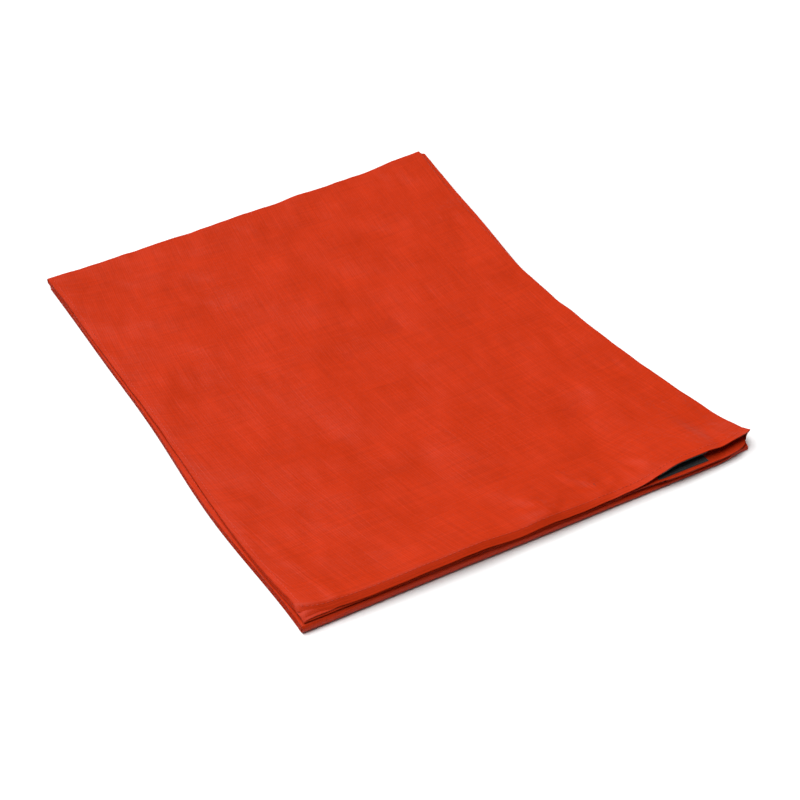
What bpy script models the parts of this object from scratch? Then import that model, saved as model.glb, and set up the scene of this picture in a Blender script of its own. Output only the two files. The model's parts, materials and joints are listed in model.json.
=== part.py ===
"""A bivy sack, folded flat: one bag of two coated sheets, folded once widthways and twice lengthways.

Row frame, in metres: +Z up, the base of the folded stack at Z = 0, the bag's mouth at the -Y end of the top
panel, and the widthways fold at +X. Plies are numbered from the outside in and out again, as they lie in the
top panel: 1 and 4 are the two halves of the upper sheet, 2 and 3 the two halves of the floor sheet.
"""

import math

import bmesh
import bpy

# Sizes of the folded bag.
FOLDED_WIDTH = 0.510  # half the bag's flat width
FOLDED_LENGTH = 0.658  # beside the widthways fold: a third of the bag's flat length, with its fold
FAR_SKEW = 0.031  # how much shorter the stack is beside the seams, because the far fold runs out of square
PLY = 0.0005  # one coated sheet
AIR = 0.0006  # space that lies between two plies
SEAM = 0.0025  # width of a stitched, turned edge
MOUTH_SETBACK = 0.003  # from the near fold's tip back to the mouth's edge
FOOT_SETBACK = 0.001  # from the far fold's line back to the foot seam: the top panel swings past it

# The mouth's hook-and-loop closure: strips in pairs, mirrored about the bag's middle.
TAPE = 0.0009  # thickness of a hook strip or a loop strip
TAPE_LENGTH = 0.060
TAPE_WIDTH = 0.025
TAPE_INSET = 0.002  # from the mouth's edge to the strips
TAPE_FROM_MIDDLE = 0.092  # from the widthways fold to the centre of the first strip
TAPE_PITCH = 0.112

# The part of the upper sheet that lifts to open the mouth.
LIP_DEPTH = 0.070  # from the mouth's edge back to the line it bends about
LIP_FROM_SEAM = 0.100
LIP_FROM_FOLD = 0.035

CLEAR = 0.0003  # between pieces that touch
HINGE_CLEAR = 0.0006  # each side of the line that the lip bends about
ARC_STEPS = 10

CLOSURE = 2 * TAPE + 3 * CLEAR  # space between the two sheets where the strips lie

PANELS = (
    ("foot", (4, 3, 2, 1), (AIR, AIR, AIR)),
    ("middle", (1, 2, 3, 4), (AIR, AIR, AIR)),
    ("mouth", (4, 3, 2, 1), (CLOSURE, AIR, CLOSURE)),
)


def ply_heights():
    """The height of each ply's middle, by panel and ply, from the floor up."""
    heights = {}
    z = PLY / 2
    for panel, order, gaps in PANELS:
        for ply, gap in zip(order, gaps + (AIR,)):
            heights[panel, ply] = z
            z += PLY + gap
    return heights


Z = ply_heights()
LEFT = -FOLDED_WIDTH / 2
RIGHT = FOLDED_WIDTH / 2
NEAR = -FOLDED_LENGTH / 2
FAR = FOLDED_LENGTH / 2
PLY_LEFT = LEFT + SEAM + CLEAR  # where the plies start, beside the side seams
FAR_FOLD = FAR - (Z["mouth", 1] - Z["middle", 1]) / 2 - PLY / 2 - CLEAR
NEAR_FOLD = NEAR + (Z["middle", 4] - Z["foot", 4]) / 2 + PLY / 2 + CLEAR
MOUTH = NEAR + MOUTH_SETBACK
FOOT = FAR_FOLD - FOOT_SETBACK
SPAN = {
    "foot": (NEAR_FOLD, FOOT - SEAM - CLEAR),
    "middle": (NEAR_FOLD, FAR_FOLD),
    "mouth": (MOUTH, FAR_FOLD),
}
LIP_HINGE = MOUTH + LIP_DEPTH
LIP_X = (LEFT + LIP_FROM_SEAM, RIGHT - LIP_FROM_FOLD)


def material(name, colour, roughness):
    made = bpy.data.materials.new(name)
    made.use_nodes = True
    shader = made.node_tree.nodes["Principled BSDF"]
    shader.inputs["Base Color"].default_value = (*colour, 1)
    shader.inputs["Roughness"].default_value = roughness
    shader.inputs["Metallic"].default_value = 0
    made.diffuse_color = (*colour, 1)
    return made


def prism(name, outline, axis, start, end, look):
    """A solid of one closed outline, drawn across the axis and extruded along it.

    Across X the outline's points are (y, z), and across Y they are (x, z).
    """
    mesh = bmesh.new()
    if axis == "X":
        points = [(start, a, b) for a, b in outline]
        along = (end - start, 0, 0)
    else:
        points = [(a, start, b) for a, b in outline]
        along = (0, end - start, 0)
    face = mesh.faces.new([mesh.verts.new(point) for point in points])
    moved = bmesh.ops.extrude_face_region(mesh, geom=[face])["geom"]
    bmesh.ops.translate(mesh, vec=along, verts=[v for v in moved if isinstance(v, bmesh.types.BMVert)])
    bmesh.ops.recalc_face_normals(mesh, faces=mesh.faces)
    bmesh.ops.triangulate(mesh, faces=[f for f in mesh.faces if len(f.verts) > 4])
    return placed(name, mesh, look)


def skew(x, y):
    """How far a point moves in Y so that every line across the stack turns with the far fold."""
    from_right = (x - RIGHT) / FOLDED_WIDTH
    from_near = (y - NEAR_FOLD) / (FAR_FOLD - NEAR_FOLD)
    return FAR_SKEW * from_right * from_near


def placed(name, mesh, look):
    for vertex in mesh.verts:
        vertex.co.y += skew(vertex.co.x, vertex.co.y)
    data = bpy.data.meshes.new(name)
    mesh.to_mesh(data)
    mesh.free()
    data.materials.append(look)
    made = bpy.data.objects.new(name, data)
    bpy.context.scene.collection.objects.link(made)
    return made


def box(name, x, y, z, look):
    outline = [(x[0], z[0]), (x[1], z[0]), (x[1], z[1]), (x[0], z[1])]
    return prism(name, outline, "Y", y[0], y[1], look)


def arc(centre, radius, from_angle, to_angle):
    angles = [from_angle + (to_angle - from_angle) * i / ARC_STEPS for i in range(ARC_STEPS + 1)]
    return [(centre[0] + radius * math.cos(a), centre[1] + radius * math.sin(a)) for a in angles]


def turn_centre(panel):
    """Where the widthways fold of a panel turns, in X."""
    return RIGHT - abs(Z[panel, 1] - Z[panel, 4]) / 2 - PLY / 2


def doubled_sheet(name, panel, plies, look):
    """One sheet's share of a panel: two plies joined by the turn of the widthways fold."""
    low, high = sorted(Z[panel, ply] for ply in plies)
    centre = (turn_centre(panel), (low + high) / 2)
    radius = (high - low) / 2
    outer = arc(centre, radius + PLY / 2, -math.pi / 2, math.pi / 2)
    inner = arc(centre, radius - PLY / 2, math.pi / 2, -math.pi / 2)
    outline = (
        [(PLY_LEFT, low - PLY / 2), *outer, (PLY_LEFT, high + PLY / 2)]
        + [(PLY_LEFT, high - PLY / 2), *inner, (PLY_LEFT, low + PLY / 2)]
    )
    return prism(name, outline, "Y", *SPAN[panel], look)


def cut_lip_opening(sheet, look):
    """Takes the lip's place out of the top ply."""
    height = Z["mouth", 1]
    cutter = box(
        "lip_opening_cutter",
        (LIP_X[0] - CLEAR, LIP_X[1] + CLEAR),
        (MOUTH - CLEAR, LIP_HINGE + HINGE_CLEAR),
        (height - PLY, height + PLY),
        look,
    )
    cutter.hide_render = True
    cutter.display_type = "WIRE"
    cut = sheet.modifiers.new("lip opening", "BOOLEAN")
    cut.object = cutter
    cut.operation = "DIFFERENCE"
    cut.solver = "EXACT"


def fold_turn(name, ply, panels, fold, outwards, look):
    """The half ring by which one ply passes from a panel to the next at a lengthways fold."""
    low, high = sorted(Z[panel, ply] for panel in panels)
    centre = (fold + outwards * CLEAR, (low + high) / 2)
    radius = (high - low) / 2
    bottom = -math.pi / 2
    top = bottom + outwards * math.pi
    outer = arc(centre, radius + PLY / 2, bottom, top)
    inner = arc(centre, radius - PLY / 2, top, bottom)
    ends = min(turn_centre(panel) for panel in panels) - CLEAR
    return prism(name, outer + inner, "X", PLY_LEFT, ends, look)


def edge_heights(panel, plies):
    heights = [Z[panel, ply] for ply in plies]
    return min(heights) - PLY / 2, max(heights) + PLY / 2


def side_seams(look):
    for panel, _, _ in PANELS:
        for side, plies in (("left", (1, 2)), ("right", (3, 4))):
            x = (LEFT, LEFT + SEAM)
            box(f"{side}_side_seam_{panel}", x, SPAN[panel], edge_heights(panel, plies), look)


def foot_seams(look):
    for side, plies in (("left", (1, 2)), ("right", (3, 4))):
        x = (LEFT, turn_centre("foot") - CLEAR)
        box(f"foot_seam_{side}_half", x, (FOOT - SEAM, FOOT), edge_heights("foot", plies), look)


def closure_strips(hook_look, loop_look):
    """Hook strips on the upper sheet's inner face, each over a loop strip on the floor sheet's."""
    y = (MOUTH + TAPE_INSET, MOUTH + TAPE_INSET + TAPE_WIDTH)
    for side, upper, floor in (("left", 1, 2), ("right", 4, 3)):
        inwards = math.copysign(1, Z["mouth", floor] - Z["mouth", upper])
        for place, name in enumerate(("inner", "outer")):
            middle = RIGHT - TAPE_FROM_MIDDLE - place * TAPE_PITCH
            x = (middle - TAPE_LENGTH / 2, middle + TAPE_LENGTH / 2)
            faces = (
                ("hook", Z["mouth", upper], inwards, hook_look),
                ("loop", Z["mouth", floor], -inwards, loop_look),
            )
            for kind, ply, way, look in faces:
                near_face = ply + way * (PLY / 2 + CLEAR)
                z = sorted((near_face, near_face + way * TAPE))
                box(f"{kind}_strip_{side}_{name}", x, y, z, look)


def sheets(upper_look, floor_look):
    for panel, _, _ in PANELS:
        upper = doubled_sheet(f"upper_sheet_{panel}_panel", panel, (1, 4), upper_look)
        doubled_sheet(f"floor_sheet_{panel}_panel", panel, (2, 3), floor_look)
    cut_lip_opening(upper, upper_look)
    y = (MOUTH, LIP_HINGE - HINGE_CLEAR)
    height = Z["mouth", 1]
    box("mouth_lip", LIP_X, y, (height - PLY / 2, height + PLY / 2), upper_look)


def fold_turns(upper_look, floor_look):
    folds = (
        ("far_fold", ("mouth", "middle"), FAR_FOLD, 1),
        ("near_fold", ("middle", "foot"), NEAR_FOLD, -1),
    )
    for fold, panels, y, outwards in folds:
        for ply, side in ((1, "left"), (4, "right")):
            fold_turn(f"upper_sheet_{fold}_{side}", ply, panels, y, outwards, upper_look)
        for ply, side in ((2, "left"), (3, "right")):
            fold_turn(f"floor_sheet_{fold}_{side}", ply, panels, y, outwards, floor_look)


def main():
    for old in list(bpy.data.objects):
        bpy.data.objects.remove(old)
    upper_look = material("coated_upper_sheet", (0.62, 0.045, 0.012), 0.42)
    floor_look = material("coated_floor_sheet", (0.60, 0.040, 0.011), 0.45)
    seam_look = material("stitched_seam", (0.45, 0.030, 0.010), 0.60)
    hook_look = material("hook_tape", (0.012, 0.013, 0.014), 0.70)
    loop_look = material("loop_tape", (0.016, 0.017, 0.018), 0.90)
    sheets(upper_look, floor_look)
    fold_turns(upper_look, floor_look)
    side_seams(seam_look)
    foot_seams(seam_look)
    closure_strips(hook_look, loop_look)


main()
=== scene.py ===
"""The looks of a folded bivy sack: two coated woven sheets, its seams and its hook-and-loop closure."""

import json
import math

import bpy
import numpy as np
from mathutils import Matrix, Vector


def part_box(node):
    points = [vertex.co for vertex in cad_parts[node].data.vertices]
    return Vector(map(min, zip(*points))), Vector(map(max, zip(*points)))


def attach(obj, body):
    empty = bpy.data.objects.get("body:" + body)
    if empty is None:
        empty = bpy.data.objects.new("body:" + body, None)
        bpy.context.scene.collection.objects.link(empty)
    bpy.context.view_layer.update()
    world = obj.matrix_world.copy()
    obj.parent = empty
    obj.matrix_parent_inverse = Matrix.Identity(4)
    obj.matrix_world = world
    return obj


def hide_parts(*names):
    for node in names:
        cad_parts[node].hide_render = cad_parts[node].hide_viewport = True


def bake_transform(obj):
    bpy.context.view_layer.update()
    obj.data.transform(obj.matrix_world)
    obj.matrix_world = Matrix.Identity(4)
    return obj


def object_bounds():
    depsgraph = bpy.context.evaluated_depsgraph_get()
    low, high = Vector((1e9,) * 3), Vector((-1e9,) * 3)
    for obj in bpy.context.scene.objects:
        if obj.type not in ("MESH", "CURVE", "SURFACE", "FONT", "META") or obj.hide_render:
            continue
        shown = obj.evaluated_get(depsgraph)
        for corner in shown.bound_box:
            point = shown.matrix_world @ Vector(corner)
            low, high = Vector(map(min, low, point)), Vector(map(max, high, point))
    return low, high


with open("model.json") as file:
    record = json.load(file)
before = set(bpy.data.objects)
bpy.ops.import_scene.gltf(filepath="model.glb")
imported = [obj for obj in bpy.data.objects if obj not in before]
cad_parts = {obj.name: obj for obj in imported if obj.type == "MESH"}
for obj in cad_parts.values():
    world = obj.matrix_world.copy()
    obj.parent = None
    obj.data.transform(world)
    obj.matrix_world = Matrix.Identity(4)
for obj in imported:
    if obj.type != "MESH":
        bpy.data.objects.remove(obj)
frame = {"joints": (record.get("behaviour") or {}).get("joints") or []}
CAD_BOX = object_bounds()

# --- The frame -------------------------------------------------------------------------------------------------

LOW, HIGH = CAD_BOX
PANELS = ("mouth", "middle", "foot")
SHEETS = {"upper": (1, 4), "floor": (2, 3)}
LIP_LOW, LIP_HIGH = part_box("mouth_lip")
PLY = LIP_HIGH.z - LIP_LOW.z
JOINTS = {joint["name"]: joint for joint in frame["joints"]}
LIP_HINGE_Y = JOINTS["mouth_opening"]["pos_m"][1]
NEAR_START = JOINTS["near_fold"]["pos_m"][1] + 0.0003  # where the lower panels' flat cloth starts, on the hinge


def cad_ply_heights():
    """The middle of each ply in the CAD stack, by panel and ply."""
    heights = {}
    for panel in PANELS:
        for sheet, plies in SHEETS.items():
            low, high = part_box(f"{sheet}_sheet_{panel}_panel")
            pair = [high.z - PLY / 2, low.z + PLY / 2]
            if panel == "middle":
                pair.reverse()
            heights[panel, plies[0]], heights[panel, plies[1]] = pair
    return heights


CAD_Z = cad_ply_heights()
LEVEL = {place: level for level, place in enumerate(sorted(CAD_Z, key=CAD_Z.get))}
TOP_LEVEL = max(LEVEL.values())
STRIP_LOW, STRIP_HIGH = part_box("loop_strip_left_inner")
STRIP_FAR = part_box("loop_strip_left_outer")[0].x

# --- The cloth's shape -----------------------------------------------------------------------------------------

CLOTH = 0.00032  # thickness of one sheet
FLOOR_GAP = 0.0002  # from z = 0 to the underside of the lowest ply
HEM = 0.0010  # thickness of the turned and stitched hem round the mouth
HEM_DEPTH = 0.0085  # from the mouth's edge to the end of its hem
STRIP = 0.00072  # thickness of a hook or loop strip
PRESSED = 0.00088  # from ply to ply where the bundle is pressed flat
PUFFED = 0.00128  # from ply to ply at the near left corner
PINCHED = 0.00052  # from ply to ply at the near right corner
TURN_DEPTH = 0.0045  # how far a tall fold stands out; the near one is then stretched to reach near_tip
FOOT_SETBACK = 0.009  # from the far fold's tip back to the foot seam's edge
PAIR_FORWARD = 0.0030  # how far the closure pair in the gaping mouth lies towards the mouth's edge
PAIR_BACK = 0.0020  # how far the lowest pairs lie back, clear of the near fold's turn


def smooth(start, end, x):
    """0 up to start and 1 from end on, with a soft step between."""
    t = np.clip((x - start) / (end - start), 0, 1)
    return t * t * (3 - 2 * t)


def bump(x, centre, width):
    """1 at the centre, falling away within about the width."""
    return np.exp(-(((x - centre) / width) ** 2))


def right_outline(panel, t):
    """The widthways fold, which bows in along its middle. t runs from the near end, 0, to the far end, 1."""
    bow = 0.036 * np.sin(math.pi * t) * (1 - 0.25 * t) - 0.0015 * bump(t, 0.18, 0.12)
    shown = 0.0 if panel == "mouth" else 0.008 * smooth(0.50, 0.78, t)
    return HIGH.x - 0.002 - bow + shown - 0.008 * np.exp(-t / 0.020)


def left_outline(panel, t):
    """The seamed edge, which bows out on the lower panels."""
    if panel == "mouth":
        return LOW.x + 0.006 - 0.006 * bump(t, 0.20, 0.20)
    bow = 0.0095 * bump(t, 0.28, 0.22) + 0.0015 * bump(t, 0.72, 0.15)
    return LOW.x + 0.006 - bow - 0.003 * np.exp(-t / 0.08)


def far_tip(s):
    """The far folds' outer edge, which runs out of square. s runs from the left edge, 0, to the fold, 1."""
    return LOW.y + 0.6245 + 0.001 * (1 - s) + 0.033 * s**1.6


def near_tip(s):
    """The near fold's outer edge."""
    return LOW.y + 0.0010 - 0.0010 * smooth(0.25, 0.5, s) + 0.005 * smooth(0.92, 1.0, s)


def mouth_edge(ply, s):
    """The mouth's edge on each ply: in the gape the top one is set back and those below come forward."""
    edge = LOW.y + 0.0035 - 0.0040 * np.sin(math.pi * s) + 0.008 * np.exp(-(1 - s) / 0.02)
    forward = {1: -0.0030, 2: 0.0042, 3: 0.0034, 4: 0.0026}[ply] * smooth(0.72, 0.84, s)
    setback = {1: 0.012 * np.exp(-s / 0.030), 2: 0.0004, 3: 0.0010, 4: 0.0016}[ply]
    return edge + setback - forward


def waves(x, y, seed, count, length, height):
    """Soft random undulation: plane waves of about that length, in every direction."""
    random = np.random.default_rng(seed)
    total = np.zeros_like(x)
    for _ in range(count):
        angle = random.uniform(0, 2 * math.pi)
        number = 2 * math.pi / (length * random.uniform(0.7, 1.5))
        phase = random.uniform(0, 2 * math.pi)
        total += np.sin(number * (x * math.cos(angle) + y * math.sin(angle)) + phase)
    return total * height / math.sqrt(count / 2)


def facets(x, y, seed, count, length, height):
    """Flat patches that meet at soft creases, as crumpled coated cloth relaxes."""
    random = np.random.default_rng(seed)
    x = x + waves(x, y, seed + 1, 6, 0.150, 0.008)
    y = y + waves(x, y, seed + 2, 6, 0.150, 0.008)
    total = np.zeros_like(x)
    for _ in range(count):
        angle = random.uniform(0, math.pi)
        number = math.pi / (length * random.uniform(0.7, 1.6))
        phase = random.uniform(0, math.pi)
        wave = np.sin(number * (x * math.cos(angle) + y * math.sin(angle)) + phase)
        total += np.sqrt(wave * wave + 0.004)
    return total * height - count * height * 0.64


def ridge(x, y, start, angle, length, width, height):
    """A crease that starts at a point and fades out along its length."""
    dx, dy = x - start[0], y - start[1]
    along = dx * math.cos(angle) + dy * math.sin(angle)
    across = dy * math.cos(angle) - dx * math.sin(angle)
    reach = width * (0.6 + 0.8 * np.clip(along / length, 0, 1))
    fade = smooth(-0.10 * length, 0.12 * length, along) * (1 - smooth(0.35 * length, length, along))
    return height * bump(across, 0, reach) * fade


def near_share(t):
    """How much of the near edge's puffing is left at t."""
    return np.clip(1 - t / 0.60, 0, 1) ** 2.2


def pitch(s, t):
    """From ply to ply: loose at the near left, pressed flat inside."""
    near = PINCHED + (PUFFED - PINCHED) * (1 - smooth(0.40, 1.0, s))
    edges = 0.00006 * np.exp(-s / 0.05) + 0.00010 * np.exp(-(1 - t) / 0.05)
    rise = near_share(t)
    return PRESSED + (near - PRESSED) * rise + edges * (1 - rise)


def closure_share(s, t):
    """1 over the closure's strips, and 0 well away from them."""
    x, y = LOW.x + s * (HIGH.x - LOW.x), LOW.y + t * (HIGH.y - LOW.y)
    left, right = min(STRIP_LOW.x, STRIP_FAR), max(STRIP_HIGH.x, STRIP_FAR)
    across = smooth(left - 0.050, left - 0.004, x) * (1 - smooth(right + 0.004, right + 0.040, x))
    return across * (1 - smooth(STRIP_HIGH.y + 0.004, STRIP_HIGH.y + 0.070, y))


def cloth_thickness(from_mouth):
    """One sheet, or the hem where the cloth is turned back on itself beside the mouth."""
    return CLOTH + (HEM - CLOTH) * (1 - smooth(HEM_DEPTH - 0.0006, HEM_DEPTH + 0.0004, from_mouth))


def stack_height(panel, ply, s, t):
    """The height of a ply in the smooth stack, without wrinkles."""
    step = pitch(s, t)
    z = LEVEL[panel, ply] * step
    if panel != "mouth":
        return z
    hemmed = 1 - smooth(0.020, 0.070, t)
    over_hem = np.maximum(0, HEM + 0.00012 - step) * hemmed
    z = z + over_hem * 0.8
    if ply == 4:
        return z
    taped = np.maximum(0, HEM / 2 + CLOTH / 2 + 2 * STRIP + 0.00030 - step) * closure_share(s, t)
    apart = np.maximum(taped, over_hem)
    rise = near_share(t) ** 2
    z = z + apart + 0.0030 * (1 - smooth(0.35, 0.62, s)) * rise
    if ply == 3:
        return z
    z = z + over_hem
    if ply == 1:
        z = z + apart + 0.0024 * (1 - smooth(0.30, 0.90, s)) * rise
    return z


PINCHES = ((0.018, 1.0), (0.081, 1.0), (0.122, 0.5))  # where the closure's ends are sewn, and how deep
PINCH_CREASES = ((2.15, 0.090, 0.0014), (2.8, 0.055, 0.0012), (0.9, 0.040, 0.0008))  # (angle, length, height)
LONG_CREASES = (  # (start, angle, length, width, height), in metres and radians
    ((-0.215, LOW.y + 0.010), 1.75, 0.220, 0.0090, 0.0007),
    ((-0.205, LOW.y + 0.050), 1.10, 0.160, 0.0100, 0.0006),
    ((-0.235, 0.060), 0.25, 0.130, 0.0080, 0.0006),
    ((0.150, LOW.y + 0.012), 2.30, 0.130, 0.0075, 0.0007),
    ((0.205, LOW.y + 0.020), 1.75, 0.190, 0.0080, 0.0007),
    ((0.030, 0.250), 4.20, 0.150, 0.0100, 0.0006),
    ((-0.120, 0.220), 0.60, 0.170, 0.0110, 0.0006),
)


def top_wrinkles(x, y):
    """Undulation of the uppermost cloth, with creases that run from the closure's sewn ends."""
    z = waves(x, y, 3, 14, 0.170, 0.00070) + waves(x, y, 5, 16, 0.065, 0.00036)
    z += waves(x, y, 8, 18, 0.024, 0.00011) + facets(x, y, 12, 9, 0.110, 0.00048)
    edge = LOW.y + 0.010
    for place, depth in PINCHES:
        for angle, length, height in PINCH_CREASES:
            z += depth * ridge(x, y, (place, edge), angle, length, 0.0058, height)
        distance = (x - place) ** 2 + (y - edge) ** 2
        z -= depth * 0.0009 * np.exp(-distance / (2 * 0.0055**2))
    for start, angle, length, width, height in LONG_CREASES:
        z += ridge(x, y, start, angle, length, width, height)
    return z


def gape(x, y):
    """How far the mouth's lip stands off the ply below it at the near right."""
    across = smooth(0.100, 0.165, x) * (1 - 0.35 * smooth(0.225, 0.252, x))
    return 0.0084 * across * np.exp(-np.clip(y - LOW.y, 0, 1) / 0.055)


def curl(s, distance):
    """How far the mouth's edge rolls down over the stack."""
    roll = np.clip(1 - distance / 0.0068, 0, 1) ** 1.25
    corner = 1 + 0.4 * np.exp(-s / 0.05)
    return 0.0058 * corner * (1 - smooth(0.52, 0.78, s)) * roll


def ply_height(panel, ply, s, t, x, y):
    order = LEVEL[panel, ply] / TOP_LEVEL
    z = FLOOR_GAP + CLOTH / 2 + stack_height(panel, ply, s, t)
    z = z + order**2 * top_wrinkles(x, y) * (1 if (panel, ply) == ("mouth", 1) else 0.7)
    if panel == "mouth":
        share = {1: 1.0, 2: 0.80, 3: 0.30, 4: 0.10}[ply]
        z = z - share * curl(s, y - mouth_edge(ply, s))
        if ply == 1:
            z = z + gape(x, y)
    return z


def between(panel_a, ply_a, panel_b, ply_b, s, t):
    """Half the height from one ply to another."""
    return np.abs(stack_height(panel_a, ply_a, s, t) - stack_height(panel_b, ply_b, s, t)) / 2


def turn_depth(radius):
    """How far a fold of this radius stands out: a tall one is pressed blunt."""
    return TURN_DEPTH * np.tanh(radius / TURN_DEPTH)


def panel_surface(panel, ply, s, t):
    """The middle of one ply over one panel, as x, y and z arrays."""
    ones = np.ones_like(s)
    left = left_outline(panel, t)
    nose = turn_depth(between(panel, 1, panel, 4, ones, t))
    x = left + s * (right_outline(panel, t) - nose - left)
    near = mouth_edge(ply, s) if panel == "mouth" else NEAR_START
    far = far_tip(s) - turn_depth(between("mouth", 1, "middle", 1, s, ones))
    if panel == "foot":
        far = far_tip(s) - FOOT_SETBACK
    y = near + t * (far - near)
    z = ply_height(panel, ply, s, t, x, y)
    partner = {1: 2, 2: 1, 3: 4, 4: 3}[ply]
    middle = (z + ply_height(panel, partner, s, t, x, y)) / 2
    apart = np.sign(LEVEL[panel, ply] - LEVEL[panel, partner]) * CLOTH * 0.62
    seam = np.exp(-np.clip(x - left - 0.0015, 0, 1) / 0.0050)
    if panel == "foot":
        seam = np.maximum(seam, np.exp(-np.clip(far - y - 0.0015, 0, 1) / 0.0050))
    z = z + seam * (middle + apart - z)
    return np.stack([x, y, z], axis=-1)


# --- The sheets as grids of points -----------------------------------------------------------------------------

TURN_STEPS = 10


def spread(count, tight_ends):
    """count steps from 0 to 1, closer together at the start, the end or both."""
    x = np.linspace(0, 1, count + 1)
    start, end = tight_ends
    bent = x - start * np.sin(2 * math.pi * x) / (2 * math.pi) * (x < 0.5)
    return bent - end * np.sin(2 * math.pi * x) / (2 * math.pi) * (x >= 0.5)


def grid_rows():
    """The sheet's rows from the mouth to the foot.

    Each has its t, the share of each panel, the phase of the fold that it's in, and that fold's way out.
    """
    rows = []
    turn = np.linspace(0, 1, TURN_STEPS + 1)[1:-1]
    weights = np.eye(3)

    def flat(panel, values):
        rows.extend((t, weights[panel], 0.0, 0) for t in values)

    def fold(t, first, second, way):
        for b in turn:
            share = (1 - math.cos(math.pi * b)) / 2
            rows.append((t, (1 - share) * weights[first] + share * weights[second], b, way))

    flat(0, spread(120, (0.75, 0.4)))
    fold(1.0, 0, 1, 1)
    flat(1, spread(60, (0.5, 0.5))[::-1])
    fold(0.0, 1, 2, -1)
    flat(2, spread(60, (0.5, 0.5)))
    t, share, phase, way = (np.array(part, float) for part in zip(*rows))
    return {"t": t, "share": share, "phase": phase, "way": way}


def grid_columns():
    """The sheet's columns from the left edge round the widthways fold and back."""
    turn = np.linspace(0, 1, TURN_STEPS + 1)[1:-1]
    across = spread(132, (0.6, 0.4))
    s = np.concatenate([across, np.ones_like(turn), across[::-1]])
    half = np.concatenate([np.zeros_like(across), (1 - np.cos(math.pi * turn)) / 2, np.ones_like(across)])
    phase = np.concatenate([np.zeros_like(across), turn, np.ones_like(across)])
    return {"s": s, "half": half, "phase": phase}


ROWS = grid_rows()
COLUMNS = grid_columns()


def sheet_points(sheet):
    """The sheet's whole surface, folded: one point for each row and column."""
    t, s = np.meshgrid(ROWS["t"], COLUMNS["s"], indexing="ij")
    surfaces = np.array([[panel_surface(p, k, s, t) for k in SHEETS[sheet]] for p in PANELS])
    panel_share = ROWS["share"].T[:, None, :, None]
    half_share = np.stack([1 - COLUMNS["half"], COLUMNS["half"]])[None, :, None, :]
    points = (surfaces * (panel_share * half_share)[..., None]).sum((0, 1))
    by_half = (surfaces[..., 2] * panel_share).sum(0)
    depth = turn_depth(np.abs(by_half[0] - by_half[1]) / 2)
    points[..., 0] += np.sin(math.pi * COLUMNS["phase"])[None, :] * depth
    by_panel = (surfaces[..., 2] * half_share).sum(1)
    far_depth = turn_depth(np.abs(by_panel[0] - by_panel[1]) / 2)
    outermost = turn_depth(between("middle", 4, "foot", 4, s, np.zeros_like(s)))
    stretch = (NEAR_START - near_tip(s)) / outermost
    near_depth = turn_depth(np.abs(by_panel[1] - by_panel[2]) / 2) * stretch
    depth = np.where(ROWS["way"][:, None] > 0, far_depth, -near_depth)
    points[..., 1] += np.sin(math.pi * ROWS["phase"])[:, None] * depth
    if sheet == "upper":
        to_fold = (1 - s) * (HIGH.x - LOW.x) * (COLUMNS["half"] < 0.5)
        ear = np.exp(-((to_fold / 0.010) ** 2)) * np.exp(-((COLUMNS["phase"] / 0.30) ** 2)) * np.exp(-t / 0.016)
        points[..., 0] += 0.0105 * ear * ROWS["share"][:, :1]
        points[..., 2] += 0.0012 * ear * ROWS["share"][:, :1]
    return points


def surface_normals(points):
    along_rows = np.gradient(points, axis=0)
    along_columns = np.gradient(points, axis=1)
    normals = np.cross(along_columns, along_rows)
    return normals / np.maximum(np.linalg.norm(normals, axis=-1, keepdims=True), 1e-12)


def cloth_coordinates(points):
    """Each point's place on the flat cloth, in metres, so that the weave follows the folds."""
    steps = np.linalg.norm(np.diff(points, axis=1), axis=-1)
    u = np.concatenate([np.zeros((len(points), 1)), np.cumsum(steps, axis=1)], axis=1)
    turn = len(COLUMNS["s"]) // 2
    u -= u[:, turn : turn + 1]
    steps = np.linalg.norm(np.diff(points, axis=0), axis=-1)
    v = np.concatenate([np.zeros((1, points.shape[1])), np.cumsum(steps, axis=0)])
    return np.stack([u, v], axis=-1)


def closed_faces(quads, count):
    """The faces of two layers of count points each, with these quads on both and walls along their rim."""
    ends = np.concatenate([quads[:, [i, (i + 1) % 4]] for i in range(4)])
    _, inverse, uses = np.unique(np.sort(ends, axis=1), axis=0, return_inverse=True, return_counts=True)
    rim = ends[uses[inverse.reshape(-1)] == 1]
    sides = np.stack([rim[:, 1], rim[:, 0], rim[:, 0] + count, rim[:, 1] + count], axis=1)
    return np.concatenate([quads, quads[:, ::-1] + count, sides])


def grid_quads(rows, columns):
    """The four corners of each cell of a grid of points."""
    index = np.arange(rows * columns).reshape(rows, columns)
    return np.stack([index[:-1, :-1], index[:-1, 1:], index[1:, 1:], index[1:, :-1]], axis=-1)


def new_piece(name, mesh, look):
    mesh.materials.append(look)
    piece = bpy.data.objects.new(name, mesh)
    bpy.context.scene.collection.objects.link(piece)
    return piece


def solid_cloth(name, grid, keep, look):
    """A closed sheet of cloth over the kept cells of a grid, with its rims."""
    points, normals, flat = grid
    count = points.shape[0] * points.shape[1]
    faces = closed_faces(grid_quads(*points.shape[:2])[keep], count)
    offset = (normals * cloth_thickness(flat[..., 1:]) / 2).reshape(-1, 3)
    both = np.concatenate([points.reshape(-1, 3) + offset, points.reshape(-1, 3) - offset])
    facing = np.concatenate([normals.reshape(-1, 3), -normals.reshape(-1, 3)])
    flat_both = np.concatenate([flat.reshape(-1, 2)] * 2)
    used, faces = np.unique(faces, return_inverse=True)
    faces = faces.reshape(-1, 4)
    mesh = bpy.data.meshes.new(name)
    mesh.from_pydata(both[used].tolist(), [], faces.tolist())
    layer = mesh.uv_layers.new(name="cloth")
    layer.data.foreach_set("uv", flat_both[used][faces.reshape(-1)].astype(np.float32).ravel())
    mesh.shade_smooth()
    mesh.normals_split_custom_set_from_vertices(facing[used].tolist())
    return new_piece(name, mesh, look), used % count


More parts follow.
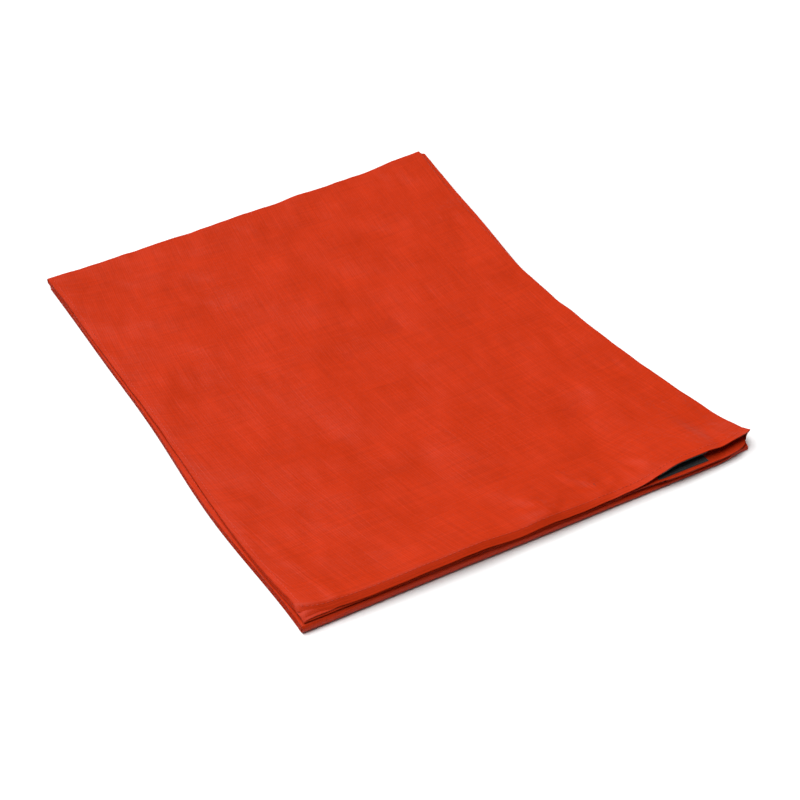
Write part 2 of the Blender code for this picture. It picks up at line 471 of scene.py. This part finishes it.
def bend_by(piece, point_of, weights):
    """Works out a height for each point from a weight of its own, then puts every point back where it was, so
    the piece keeps its shape.
    """
    w = np.clip(weights.reshape(-1)[point_of], 0, 1)
    height = 0.5 - np.sin(np.arcsin(1 - 2 * w) / 3)
    mesh = piece.data
    kept = np.zeros(len(mesh.vertices) * 3, np.float32)
    mesh.vertices.foreach_get("co", kept)
    raised = kept.copy()
    raised[2::3] = height
    mesh.vertices.foreach_set("co", raised)
    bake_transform(piece)
    mesh.vertices.foreach_set("co", kept)
    mesh.update()


# --- Materials -------------------------------------------------------------------------------------------------


class Nodes:
    """A material's node tree, written as calls."""

    def __init__(self, name):
        self.material = bpy.data.materials.new(name)
        self.material.use_nodes = True
        self.tree = self.material.node_tree
        self.shader = self.tree.nodes["Principled BSDF"]

    def add(self, kind, **settings):
        node = self.tree.nodes.new(kind)
        for key, value in settings.items():
            setattr(node, key, value)
        return node

    def put(self, socket, value):
        if isinstance(value, bpy.types.NodeSocket):
            self.tree.links.new(value, socket)
        else:
            socket.default_value = value

    def math(self, operation, a, b=0.0):
        node = self.add("ShaderNodeMath", operation=operation)
        for socket, value in zip(node.inputs, (a, b)):
            self.put(socket, value)
        return node.outputs[0]

    def stretch(self, vector, scale):
        node = self.add("ShaderNodeMapping")
        self.put(node.inputs["Vector"], vector)
        node.inputs["Scale"].default_value = scale
        return node.outputs[0]

    def noise(self, vector, scale, detail=2.0, roughness=0.5):
        node = self.add("ShaderNodeTexNoise")
        self.put(node.inputs["Vector"], vector)
        node.inputs["Scale"].default_value = scale
        node.inputs["Detail"].default_value = detail
        node.inputs["Roughness"].default_value = roughness
        return node.outputs["Fac"]

    def ramp(self, value, low, high, start=0.0, end=1.0):
        node = self.add("ShaderNodeMapRange")
        self.put(node.inputs["Value"], value)
        for key, number in zip(("From Min", "From Max", "To Min", "To Max"), (start, end, low, high)):
            node.inputs[key].default_value = number
        return node.outputs[0]

    def tint(self, colour, brightness):
        node = self.add("ShaderNodeHueSaturation")
        node.inputs["Color"].default_value = (*colour, 1)
        self.put(node.inputs["Value"], brightness)
        return node.outputs[0]

    def bump(self, height, distance):
        node = self.add("ShaderNodeBump")
        node.inputs["Strength"].default_value = 1.0
        node.inputs["Distance"].default_value = distance
        self.put(node.inputs["Height"], height)
        self.put(self.shader.inputs["Normal"], node.outputs[0])


TAPE_PITCH = 0.0022  # width of one woven tape


def coated_weave(name, colour, roughness):
    """Woven tapes under a thin coating: fine ribs both ways, with tapes of slightly different shade."""
    n = Nodes(name)
    place = n.add("ShaderNodeUVMap", uv_map="cloth").outputs[0]
    split = n.add("ShaderNodeSeparateXYZ")
    n.put(split.inputs[0], place)
    turn = math.pi / TAPE_PITCH
    warp = n.math("ABSOLUTE", n.math("SINE", n.math("MULTIPLY", split.outputs[0], turn)))
    weft = n.math("ABSOLUTE", n.math("SINE", n.math("MULTIPLY", split.outputs[1], turn)))
    over = n.math("MULTIPLY", n.math("POWER", warp, 0.5), n.math("POWER", weft, 0.5))
    warp_slub = n.noise(n.stretch(place, (1 / TAPE_PITCH, 14, 1)), 1.0, 1.0)
    weft_slub = n.noise(n.stretch(place, (14, 1 / TAPE_PITCH, 1)), 1.0, 1.0)
    slub = n.math("ADD", warp_slub, weft_slub)
    mottle = n.noise(place, 16.0, 3.0, 0.55)
    brightness = n.math("ADD", n.ramp(slub, 0.90, 1.10, 0.6, 1.4), n.ramp(mottle, -0.05, 0.05, 0.3, 0.7))
    brightness = n.math("ADD", brightness, n.ramp(over, -0.14, 0.04))
    n.put(n.shader.inputs["Base Color"], n.tint(colour, brightness))
    n.put(n.shader.inputs["Roughness"], n.ramp(mottle, roughness - 0.05, roughness + 0.06, 0.3, 0.7))
    n.shader.inputs["Specular IOR Level"].default_value = 0.12
    crinkle = n.noise(place, 70.0, 3.0, 0.6)
    height = n.math("ADD", n.math("MULTIPLY", over, 0.35), n.math("MULTIPLY", slub, 0.9))
    n.bump(n.math("ADD", height, n.math("MULTIPLY", crinkle, 2.2)), 0.00022)
    return n.material


def closure_tape(name, colour, pile):
    """Black hook or loop tape: a dull nap over a woven ground."""
    n = Nodes(name)
    place = n.add("ShaderNodeTexCoord").outputs["Object"]
    nap = n.noise(place, 2600.0 * pile, 2.0, 0.7)
    tufts = n.noise(place, 700.0, 2.0)
    n.put(n.shader.inputs["Base Color"], n.tint(colour, n.ramp(nap, 0.5, 1.7, 0.3, 0.7)))
    n.put(n.shader.inputs["Roughness"], n.ramp(tufts, 0.65, 0.95))
    n.shader.inputs["Sheen Weight"].default_value = 0.12
    n.shader.inputs["Sheen Roughness"].default_value = 0.5
    n.bump(n.math("ADD", nap, tufts), 0.0004)
    return n.material


def thread(name, colour):
    n = Nodes(name)
    place = n.add("ShaderNodeTexCoord").outputs["Object"]
    twist = n.noise(place, 1800.0, 1.0)
    n.put(n.shader.inputs["Base Color"], n.tint(colour, n.ramp(twist, 0.75, 1.25, 0.3, 0.7)))
    n.shader.inputs["Roughness"].default_value = 0.6
    n.bump(twist, 0.0001)
    return n.material


# --- Pieces ----------------------------------------------------------------------------------------------------

UPPER = coated_weave("upper_cloth", (0.405, 0.0222, 0.0022), 0.42)
FLOOR = coated_weave("floor_cloth", (0.385, 0.0205, 0.0020), 0.46)
THREAD = thread("seam_thread", (0.50, 0.035, 0.010))
HOOK = closure_tape("hook_nap", (0.005, 0.0055, 0.006), 0.6)
LOOP = closure_tape("loop_nap", (0.007, 0.0075, 0.008), 1.0)


def cells():
    """Which rows of cells lie in each part of a sheet's grid, and which columns in its first half."""
    share, t = ROWS["share"], ROWS["t"]
    panel = {name: (share[:-1, i] == 1) & (share[1:, i] == 1) for i, name in enumerate(PANELS)}
    middle_near = panel["middle"] & (t[1:] < 0.4999)
    first_half = (COLUMNS["phase"][:-1] == 0) & (COLUMNS["phase"][1:] == 0)
    rows = np.arange(len(t) - 1)
    near = rows >= rows[middle_near].min()
    far = (rows > rows[panel["mouth"]].max()) & ~near
    return {"mouth": panel["mouth"], "far": far, "near": near, "first_half": first_half}


CELLS = cells()


def fold_weights(first, second):
    """The share of a fold's phase, from the body above it to the body below it, for every point."""
    share = ROWS["share"]
    weight = np.where(share[:, PANELS.index(second)] == 1, 1.0, ROWS["phase"])
    weight = np.where(share[:, PANELS.index(first)] == 1, 0.0, weight)
    return np.repeat(weight[:, None], len(COLUMNS["s"]), axis=1)


def lip_weights(points):
    """How far each point of the mouth's upper ply follows the lip: all the way but near its seam and folds."""
    x, y = points[..., 0], points[..., 1]
    from_left = smooth(LOW.x + 0.006, LIP_LOW.x, x)
    from_right = 1 - smooth(LIP_HIGH.x, HIGH.x - 0.006, x)
    from_hinge = 1 - smooth(LIP_HINGE_Y - 0.020, LIP_HINGE_Y + 0.002, y)
    return from_left * from_right * from_hinge


def make_sheet(sheet, look):
    """One sheet in its pieces: each covers a fold and the cloth beside it."""
    points = sheet_points(sheet)
    grid = (points, surface_normals(points), cloth_coordinates(points))
    far = CELLS["far"][:, None] | np.zeros(len(COLUMNS["s"]) - 1, bool)
    mouth = CELLS["mouth"][:, None] | np.zeros(len(COLUMNS["s"]) - 1, bool)
    if sheet == "upper":
        top, point_of = solid_cloth("upper_sheet_top", grid, mouth & CELLS["first_half"], look)
        bend_by(top, point_of, lip_weights(points))
        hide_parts("mouth_lip", "upper_sheet_mouth_panel")
        make_hem_stitches(points)
        far = far | (mouth & ~CELLS["first_half"])
    else:
        far = far | mouth
    piece, point_of = solid_cloth(f"{sheet}_sheet_far", grid, far, look)
    bend_by(piece, point_of, fold_weights("mouth", "middle"))
    replaced = [f"{sheet}_sheet_far_fold_{side}" for side in ("left", "right")]
    if sheet == "floor":
        replaced.append("floor_sheet_mouth_panel")
    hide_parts(f"{sheet}_sheet_middle_panel", *replaced)
    near = CELLS["near"][:, None] | np.zeros(len(COLUMNS["s"]) - 1, bool)
    piece, point_of = solid_cloth(f"{sheet}_sheet_near", grid, near, look)
    bend_by(piece, point_of, fold_weights("middle", "foot"))
    replaced = [f"{sheet}_sheet_near_fold_{side}" for side in ("left", "right")]
    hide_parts(f"{sheet}_sheet_foot_panel", *replaced)


def panel_point(panel, ply, x, y):
    """The place of a ply at x and y, found by stepping towards it over the panel's surface."""
    s = (x - LOW.x) / (HIGH.x - LOW.x)
    t = (y - LOW.y) / (HIGH.y - LOW.y)
    for _ in range(12):
        found = panel_surface(panel, ply, s, t)
        s = np.clip(s + (x - found[..., 0]) / (HIGH.x - LOW.x), 0, 1)
        t = np.clip(t + (y - found[..., 1]) / (HIGH.y - LOW.y), 0, 1)
    return panel_surface(panel, ply, s, t)


def closure_strip(node, ply, way, body, look):
    """A strip of hook or loop tape that lies along its ply, with rounded edges."""
    low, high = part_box(node)
    across, along = 118, 50
    u, v = np.meshgrid(np.linspace(-1, 1, along), np.linspace(-1, 1, across), indexing="ij")
    middle = ((low.x + high.x) / 2, (low.y + high.y) / 2)
    half = ((high.x - low.x) / 2, (high.y - low.y) / 2)
    shift = PAIR_BACK if "right" in node else -PAIR_FORWARD * smooth(0.070, 0.125, middle[0])
    x, y = middle[0] + v * half[0], middle[1] + u * half[1] + shift
    base = panel_point("mouth", ply, x, y)
    normals = surface_normals(base)
    normals = normals * np.sign(normals[..., 2:3])
    edge = np.minimum((1 - np.abs(u)) * half[1], (1 - np.abs(v)) * half[0])
    rounded = np.sqrt(np.clip(1 - (1 - np.clip(edge / 0.0008, 0, 1)) ** 2, 0, 1))
    stitch = (np.sin((x + y) * 2 * math.pi / 0.0030) > -0.4) * bump(edge, 0.0020, 0.0004)
    nap = 0.00003 * np.sin(x * 5200) * np.sin(y * 5900) - 0.00020 * stitch
    from_mouth = y - mouth_edge(ply, (x - LOW.x) / (HIGH.x - LOW.x))
    under = cloth_thickness(from_mouth)[..., None] / 2
    foot = base + way * normals * (under + 0.00005)
    top = foot + way * normals * (STRIP * (0.35 + 0.65 * rounded) + nap)[..., None]
    return grid_block(node.replace("strip", "tape"), foot, top, way, body, look, node)


def grid_block(name, foot, top, way, body, look, node):
    """A closed block between two grids of points."""
    rows, columns = foot.shape[:2]
    faces = closed_faces(grid_quads(rows, columns).reshape(-1, 4), rows * columns)
    upper, lower = (top, foot) if way > 0 else (foot, top)
    both = np.concatenate([upper.reshape(-1, 3), lower.reshape(-1, 3)])
    mesh = bpy.data.meshes.new(name)
    mesh.from_pydata(both.tolist(), [], faces.tolist())
    mesh.shade_smooth()
    mesh.set_sharp_from_angle(angle=math.radians(50))
    made = new_piece(name, mesh, look)
    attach(made, body)
    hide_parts(node)
    return made


def make_closure():
    """The hook and loop tapes, each on the face of its ply that looks into the bag."""
    for side, upper, floor in (("left", 1, 2), ("right", 4, 3)):
        way = 1 if LEVEL["mouth", floor] > LEVEL["mouth", upper] else -1
        for place in ("inner", "outer"):
            body = "mouth_lip" if side == "left" else "mouth_panel"
            hook = closure_strip(f"hook_strip_{side}_{place}", upper, way, body, HOOK)
            loop = closure_strip(f"loop_strip_{side}_{place}", floor, -way, "mouth_panel", LOOP)


STITCH = 0.0034  # length of one stitch
STITCH_GAP = 0.0012
SEAM_INSET = 0.0050  # from a seamed edge in to its stitches


def stitch_row(name, centres, directions, ups):
    """A row of stitches: short threads that dip into the cloth at both ends."""
    rings = np.linspace(-1, 1, 6)
    sides = 5
    verts, faces = [], []
    for centre, along, up in zip(centres, directions, ups):
        out = np.cross(along, up)
        base = len(verts)
        for r in rings:
            height = 0.00028 * (1 - r * r) - 0.00005
            radius = 0.00024 * math.sqrt(max(0.05, 1 - 0.8 * r * r))
            for k in range(sides):
                a = 2 * math.pi * k / sides
                ring = up * (height + radius * math.sin(a)) + out * radius * math.cos(a)
                verts.append(centre + along * (r * STITCH / 2) + ring)
        for i in range(len(rings) - 1):
            for k in range(sides):
                a, b = base + i * sides + k, base + i * sides + (k + 1) % sides
                faces.append((a, b, b + sides, a + sides))
        faces.append(tuple(base + k for k in reversed(range(sides))))
        faces.append(tuple(base + (len(rings) - 1) * sides + k for k in range(sides)))
    mesh = bpy.data.meshes.new(name)
    mesh.from_pydata([tuple(v) for v in verts], [], faces)
    mesh.shade_smooth()
    made = new_piece(name, mesh, THREAD)
    return made


def run_points(panel, ply, fixed, along_y):
    """Points along a seam on one ply, with the seam's direction and the outside's normal."""
    share = np.linspace(0.004, 0.996, 400)
    if along_y:
        line = panel_surface(panel, ply, np.full_like(share, fixed), share)
        beside = panel_surface(panel, ply, np.full_like(share, fixed + 0.004), share)
    else:
        line = panel_surface(panel, ply, share, np.full_like(share, fixed))
        beside = panel_surface(panel, ply, share, np.full_like(share, fixed - 0.004))
    length = np.concatenate([[0], np.cumsum(np.linalg.norm(np.diff(line, axis=0), axis=1))])
    at = np.arange(STITCH, length[-1] - STITCH, STITCH + STITCH_GAP)
    centre = np.stack([np.interp(at, length, line[:, i]) for i in range(3)], axis=1)
    side = np.stack([np.interp(at, length, beside[:, i]) for i in range(3)], axis=1) - centre
    ahead = np.gradient(centre, axis=0)
    ahead /= np.linalg.norm(ahead, axis=1, keepdims=True)
    normal = np.cross(ahead, side)
    normal /= np.linalg.norm(normal, axis=1, keepdims=True)
    partner = {1: 2, 4: 3}[ply]
    outside = math.copysign(1, LEVEL[panel, ply] - LEVEL[panel, partner])
    normal *= np.sign(normal[:, 2:3]) * outside
    return centre + normal * CLOTH / 2, ahead, normal


def make_seams():
    """The stitches that show on the outside of each seam."""
    inset = SEAM_INSET / (HIGH.x - LOW.x)
    for panel in PANELS:
        for side, ply in (("left", 1), ("right", 4)):
            run = run_points(panel, ply, inset, True)
            row = stitch_row(f"{side}_seam_stitches_{panel}", *run)
            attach(row, f"{panel}_panel")
            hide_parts(f"{side}_side_seam_{panel}")
    for side, ply in (("left", 1), ("right", 4)):
        run = run_points("foot", ply, 1 - SEAM_INSET / (HIGH.y - LOW.y), False)
        row = stitch_row(f"foot_seam_stitches_{side}", *run)
        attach(row, "foot_panel")
        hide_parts(f"foot_seam_{side}_half")


def grid_line(points, from_mouth, columns):
    """The line across a sheet's grid at a distance from the mouth, measured along the cloth."""
    steps = np.linalg.norm(np.diff(points[:40, columns], axis=0), axis=-1)
    length = np.concatenate([np.zeros((1, steps.shape[1])), np.cumsum(steps, axis=0)])
    row = (length < from_mouth).sum(0) - 1
    at = np.arange(steps.shape[1])
    share = (from_mouth - length[row, at]) / (length[row + 1, at] - length[row, at])
    here, ahead = points[row, columns], points[row + 1, columns]
    return here + share[:, None] * (ahead - here), ahead - here


def make_hem_stitches(points):
    """The row that holds the hem, where it shows on the mouth's upper ply."""
    columns = np.flatnonzero((COLUMNS["phase"] == 0))[2:-2]
    line, inward = grid_line(points, HEM_DEPTH - 0.0014, columns)
    length = np.concatenate([[0], np.cumsum(np.linalg.norm(np.diff(line, axis=0), axis=1))])
    at = np.arange(STITCH, length[-1] - STITCH, STITCH + STITCH_GAP)
    centre = np.stack([np.interp(at, length, line[:, i]) for i in range(3)], axis=1)
    inward = np.stack([np.interp(at, length, inward[:, i]) for i in range(3)], axis=1)
    ahead = np.gradient(centre, axis=0)
    ahead /= np.linalg.norm(ahead, axis=1, keepdims=True)
    normal = np.cross(ahead, inward)
    normal /= np.linalg.norm(normal, axis=1, keepdims=True)
    row = stitch_row("mouth_hem_stitches", centre + normal * HEM / 2, ahead, normal)
    each = len(row.data.vertices) // len(centre)
    bend_by(row, np.repeat(np.arange(len(centre)), each), lip_weights(centre))


# --- Floor, light and camera -----------------------------------------------------------------------------------


STAGE_Z = -0.0002  # the floor lies this little below the sack, so that no surfaces coincide


def make_stage():
    bpy.ops.mesh.primitive_plane_add(size=60, location=(0, 0, STAGE_Z))
    floor = bpy.context.object
    floor.name = "floor"
    n = Nodes("pale_floor")
    n.shader.inputs["Base Color"].default_value = (0.78, 0.78, 0.78, 1)
    n.shader.inputs["Roughness"].default_value = 0.9
    n.shader.inputs["Specular IOR Level"].default_value = 0.1
    floor.data.materials.append(n.material)


def sun(name, azimuth, elevation, angle, strength):
    """A soft light from far away: azimuth 0 is +Y, and 90 is -X."""
    data = bpy.data.lights.new(name, "SUN")
    data.angle = math.radians(angle)
    data.energy = strength
    lamp = bpy.data.objects.new(name, data)
    bpy.context.scene.collection.objects.link(lamp)
    a, e = math.radians(azimuth), math.radians(elevation)
    way = Vector((-math.sin(a) * math.cos(e), math.cos(a) * math.cos(e), math.sin(e)))
    lamp.rotation_euler = way.to_track_quat("Z", "Y").to_euler()


def make_lights():
    """One wide sun, and a sky that is white at the horizon and dark above it."""
    sun("key", azimuth=58, elevation=63, angle=75, strength=5.4)
    world = bpy.data.worlds.new("studio")
    bpy.context.scene.world = world
    world.use_nodes = True
    nodes, links = world.node_tree.nodes, world.node_tree.links
    way = nodes.new("ShaderNodeTexCoord")
    split = nodes.new("ShaderNodeSeparateXYZ")
    wall = nodes.new("ShaderNodeMapRange")
    wall.interpolation_type = "SMOOTHSTEP"
    for key, value in (("From Min", 0.0), ("From Max", 0.10), ("To Min", 1.0), ("To Max", 0.10)):
        wall.inputs[key].default_value = value
    links.new(way.outputs["Generated"], split.inputs[0])
    links.new(split.outputs["Z"], wall.inputs["Value"])
    links.new(wall.outputs[0], nodes["Background"].inputs["Strength"])
    nodes["Background"].inputs["Color"].default_value = (1, 1, 1, 1)
    bpy.context.scene.view_settings.view_transform = "Standard"


AZIMUTH, ELEVATION = math.radians(-30.2), math.radians(38.0)
FIELD_OF_VIEW = math.radians(26.0)
DISTANCE = 1.755
AIM = Vector((-0.022, LOW.y + 0.2305, 0.015))


def make_camera():
    data = bpy.data.cameras.new("camera")
    data.sensor_width = 36
    data.lens = data.sensor_width / 2 / math.tan(FIELD_OF_VIEW / 2)
    camera = bpy.data.objects.new("camera", data)
    bpy.context.scene.collection.objects.link(camera)
    away = Vector((
        math.sin(AZIMUTH) * math.cos(ELEVATION),
        -math.cos(AZIMUTH) * math.cos(ELEVATION),
        math.sin(ELEVATION),
    ))
    camera.location = AIM + away * DISTANCE
    camera.rotation_euler = (-away).to_track_quat("-Z", "Y").to_euler()
    bpy.context.scene.camera = camera


make_camera()
make_stage()
make_lights()
make_sheet("floor", FLOOR)
make_sheet("upper", UPPER)
make_closure()
make_seams()
